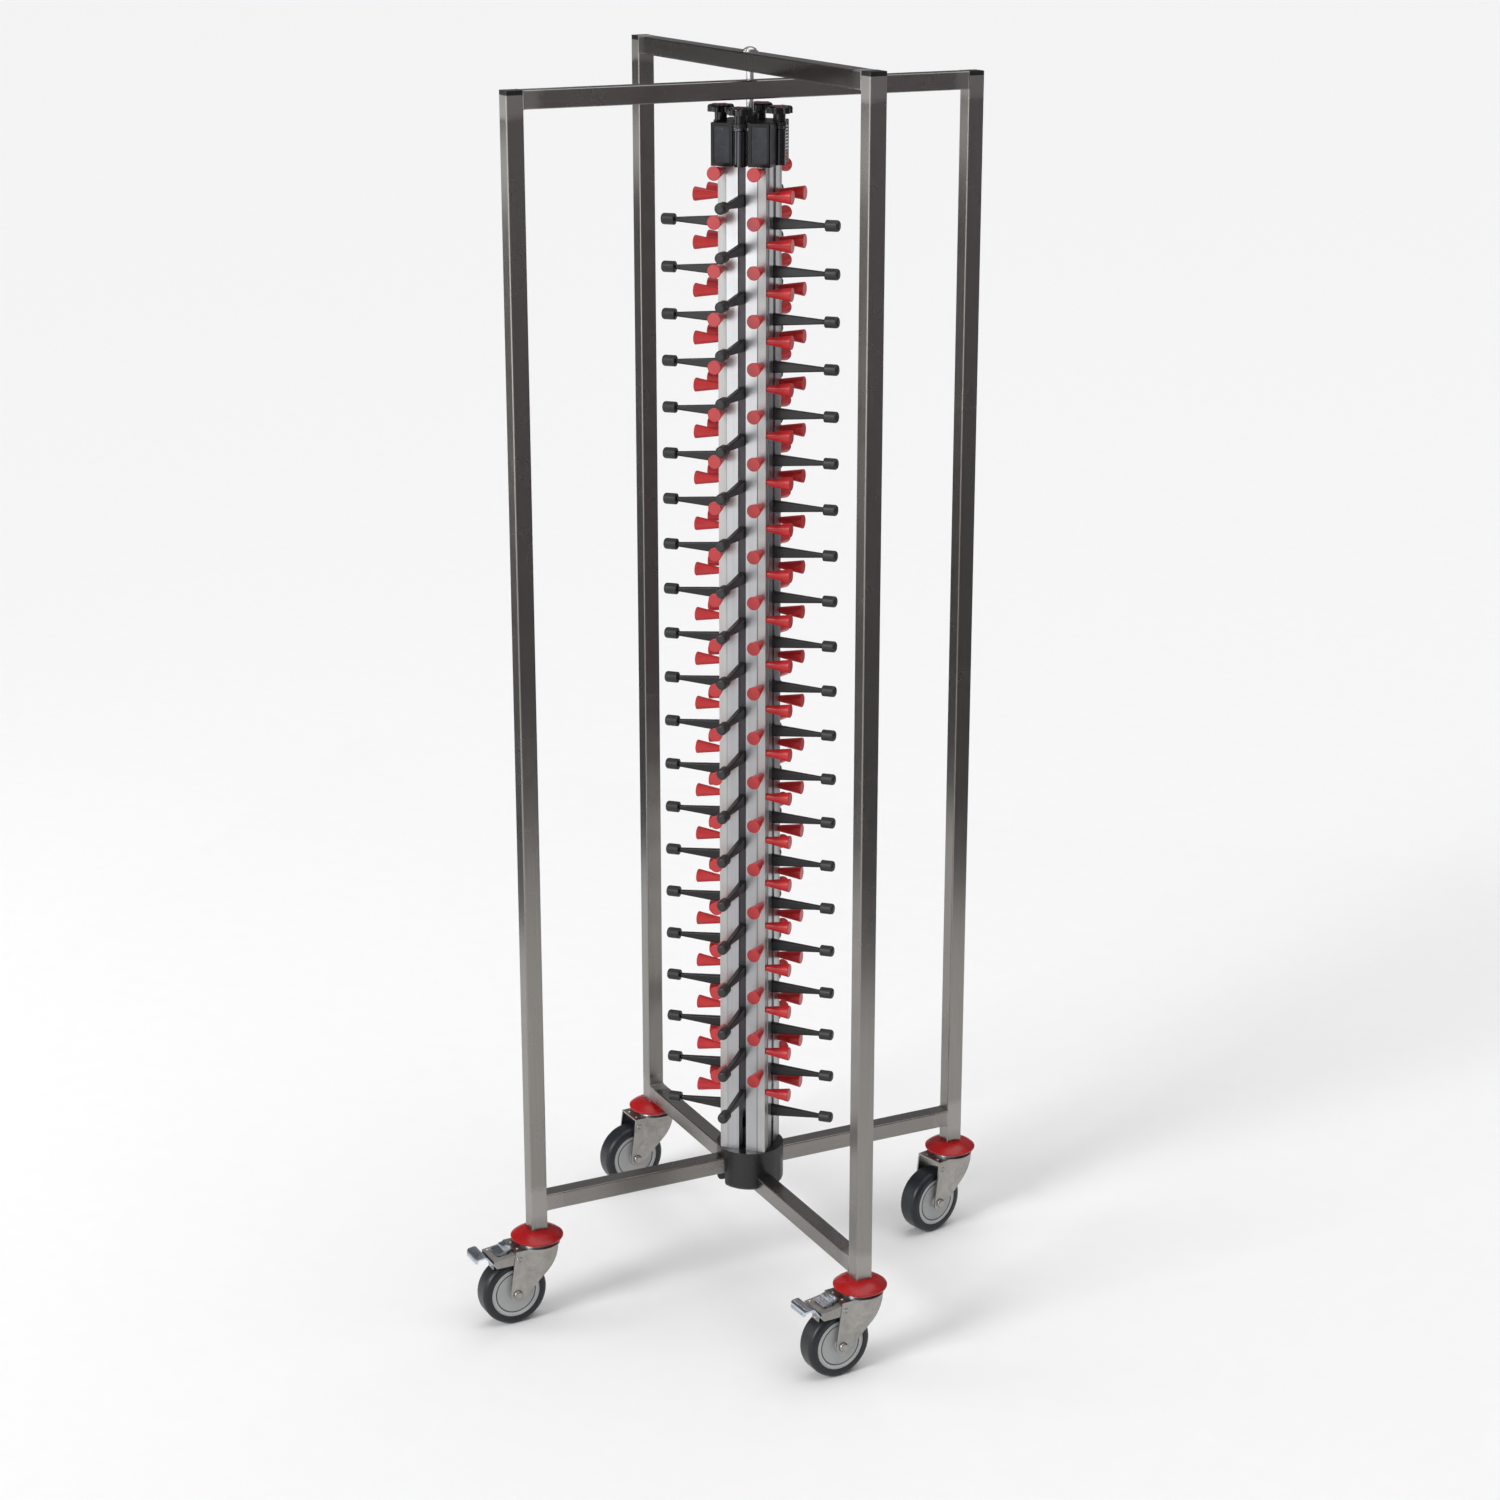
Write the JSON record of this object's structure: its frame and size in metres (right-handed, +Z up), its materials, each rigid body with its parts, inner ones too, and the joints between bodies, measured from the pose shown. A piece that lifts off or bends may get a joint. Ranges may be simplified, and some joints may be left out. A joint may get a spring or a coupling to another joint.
{
  "type": "plate trolley",
  "caption": "Tall trolley with crossed square-tube portals around a slotted column whose red pins and black arms grip plates by the rim; knobs adjust the grips, casters swivel and brake.",
  "frame": {"origin": "on the floor, on the axis of the column and tie rod", "axes": "+Z up along the column, -Y out of the front grip face, +X out of the right grip face"},
  "size_m": [0.6178, 0.6227, 1.819],
  "materials": {
    "stainless": "brushed square tube",
    "tie_rod": "bright drawn rod",
    "hardware": "plain stainless fasteners",
    "profile": "satin anodised extrusion",
    "black_plastic": "moulded, satin",
    "red_plastic": "moulded, semi-gloss",
    "rail": "black anodised",
    "cap_rubber": "soft moulded cap",
    "caster_steel": "pressed stainless sheet",
    "zinc": "bright zinc plated",
    "wheel_hub": "moulded, light grey",
    "tyre": "smooth grey rubber"
  },
  "bodies": {
    "frame": {"bottom_beam_inner": "stainless", "bottom_beam_outer": "stainless", "bumpers": "red_plastic", "caster_stems": "caster_steel", "column_housings": "black_plastic", "column_profile_back_left": "profile", "column_profile_back_right": "profile", "column_profile_front_left": "profile", "column_profile_front_right": "profile", "core_spiders": "black_plastic", "end_caps": "black_plastic", "foot_hub": "black_plastic", "head_plate": "black_plastic", "red_pins_front_back": "red_plastic", "red_pins_left_right": "red_plastic", "rod_fasteners": "hardware", "tie_rod": "tie_rod", "top_beam_inner": "stainless", "top_beam_outer": "stainless", "upright_back_left": "stainless", "upright_back_right": "stainless", "upright_front_left": "stainless", "upright_front_right": "stainless"},
    "rail_back": {"arm_caps_back": "cap_rubber", "arms_back": "black_plastic", "rail_back": "rail"},
    "rail_front": {"arm_caps_front": "cap_rubber", "arms_front": "black_plastic", "rail_front": "rail"},
    "rail_left": {"arm_caps_left": "cap_rubber", "arms_left": "black_plastic", "rail_left": "rail"},
    "rail_right": {"arm_caps_right": "cap_rubber", "arms_right": "black_plastic", "rail_right": "rail"},
    "caster_front_left": {"brake_housing_front_left": "caster_steel", "caster_fork_front_left": "caster_steel"},
    "caster_front_right": {"brake_housing_front_right": "caster_steel", "caster_fork_front_right": "caster_steel"},
    "pedal_front_left": {"brake_pedal_front_left": "zinc"},
    "pedal_front_right": {"brake_pedal_front_right": "zinc"},
    "caster_back_left": {"caster_fork_back_left": "caster_steel"},
    "caster_back_right": {"caster_fork_back_right": "caster_steel"},
    "knob_back": {"knob_back": "black_plastic", "spindle_back": "hardware"},
    "knob_front": {"knob_front": "black_plastic", "spindle_front": "hardware"},
    "knob_left": {"knob_left": "black_plastic", "spindle_left": "hardware"},
    "knob_right": {"knob_right": "black_plastic", "spindle_right": "hardware"},
    "wheel_back_left": {"tyre_back_left": "tyre", "wheel_hub_back_left": "wheel_hub"},
    "wheel_back_right": {"tyre_back_right": "tyre", "wheel_hub_back_right": "wheel_hub"},
    "wheel_front_left": {"tyre_front_left": "tyre", "wheel_hub_front_left": "wheel_hub"},
    "wheel_front_right": {"tyre_front_right": "tyre", "wheel_hub_front_right": "wheel_hub"}
  },
  "joints": [
    {"name": "rail_front_slide", "type": "slide", "parent": "frame", "child": "rail_front", "axis": [0, 0, 1], "range_m": [-0.03, 0]},
    {"name": "knob_front_turn", "type": "hinge", "parent": "frame", "child": "knob_front", "pos_m": [0, -0.042, 1.73], "axis": [0, 0, 1], "range_deg": [0, 1800]},
    {"name": "rail_right_slide", "type": "slide", "parent": "frame", "child": "rail_right", "axis": [0, 0, 1], "range_m": [-0.03, 0]},
    {"name": "knob_right_turn", "type": "hinge", "parent": "frame", "child": "knob_right", "pos_m": [0.042, 0, 1.73], "axis": [0, 0, 1], "range_deg": [0, 1800]},
    {"name": "rail_back_slide", "type": "slide", "parent": "frame", "child": "rail_back", "axis": [0, 0, 1], "range_m": [-0.03, 0]},
    {"name": "knob_back_turn", "type": "hinge", "parent": "frame", "child": "knob_back", "pos_m": [0, 0.042, 1.73], "axis": [0, 0, 1], "range_deg": [0, 1800]},
    {"name": "rail_left_slide", "type": "slide", "parent": "frame", "child": "rail_left", "axis": [0, 0, 1], "range_m": [-0.03, 0]},
    {"name": "knob_left_turn", "type": "hinge", "parent": "frame", "child": "knob_left", "pos_m": [-0.042, 0, 1.73], "axis": [0, 0, 1], "range_deg": [0, 1800]},
    {"name": "caster_front_left_swivel", "type": "hinge", "parent": "frame", "child": "caster_front_left", "pos_m": [-0.247, -0.247, 0.117], "axis": [0, 0, 1], "continuous": true},
    {"name": "wheel_front_left_spin", "type": "hinge", "parent": "caster_front_left", "child": "wheel_front_left", "pos_m": [-0.27618, -0.27721, 0.05], "axis": [0.7193, -0.6947, 0], "continuous": true},
    {"name": "pedal_front_left_press", "type": "hinge", "parent": "caster_front_left", "child": "pedal_front_left", "pos_m": [-0.28868, -0.29016, 0.104], "axis": [0.7193, -0.6947, 0], "range_deg": [0, 12]},
    {"name": "caster_front_right_swivel", "type": "hinge", "parent": "frame", "child": "caster_front_right", "pos_m": [0.247, -0.247, 0.117], "axis": [0, 0, 1], "continuous": true},
    {"name": "wheel_front_right_spin", "type": "hinge", "parent": "caster_front_right", "child": "wheel_front_right", "pos_m": [0.21945, -0.2787, 0.05], "axis": [0.7547, -0.6561, 0], "continuous": true},
    {"name": "pedal_front_right_press", "type": "hinge", "parent": "caster_front_right", "child": "pedal_front_right", "pos_m": [0.20764, -0.29228, 0.104], "axis": [0.7547, -0.6561, 0], "range_deg": [0, 12]},
    {"name": "caster_back_left_swivel", "type": "hinge", "parent": "frame", "child": "caster_back_left", "pos_m": [-0.247, 0.247, 0.117], "axis": [0, 0, 1], "continuous": true},
    {"name": "wheel_back_left_spin", "type": "hinge", "parent": "caster_back_left", "child": "wheel_back_left", "pos_m": [-0.2751, 0.21579, 0.05], "axis": [0.7431, -0.6691, 0], "continuous": true},
    {"name": "caster_back_right_swivel", "type": "hinge", "parent": "frame", "child": "caster_back_right", "pos_m": [0.247, 0.247, 0.117], "axis": [0, 0, 1], "continuous": true},
    {"name": "wheel_back_right_spin", "type": "hinge", "parent": "caster_back_right", "child": "wheel_back_right", "pos_m": [0.22537, 0.211, 0.05], "axis": [0.8572, -0.515, 0], "continuous": true}
  ],
  "couplings": [
    {"joint": "knob_front_turn", "follows": "rail_front_slide", "rad_per_m": -1047},
    {"joint": "knob_right_turn", "follows": "rail_right_slide", "rad_per_m": -1047},
    {"joint": "knob_back_turn", "follows": "rail_back_slide", "rad_per_m": -1047},
    {"joint": "knob_left_turn", "follows": "rail_left_slide", "rad_per_m": -1047}
  ]
}
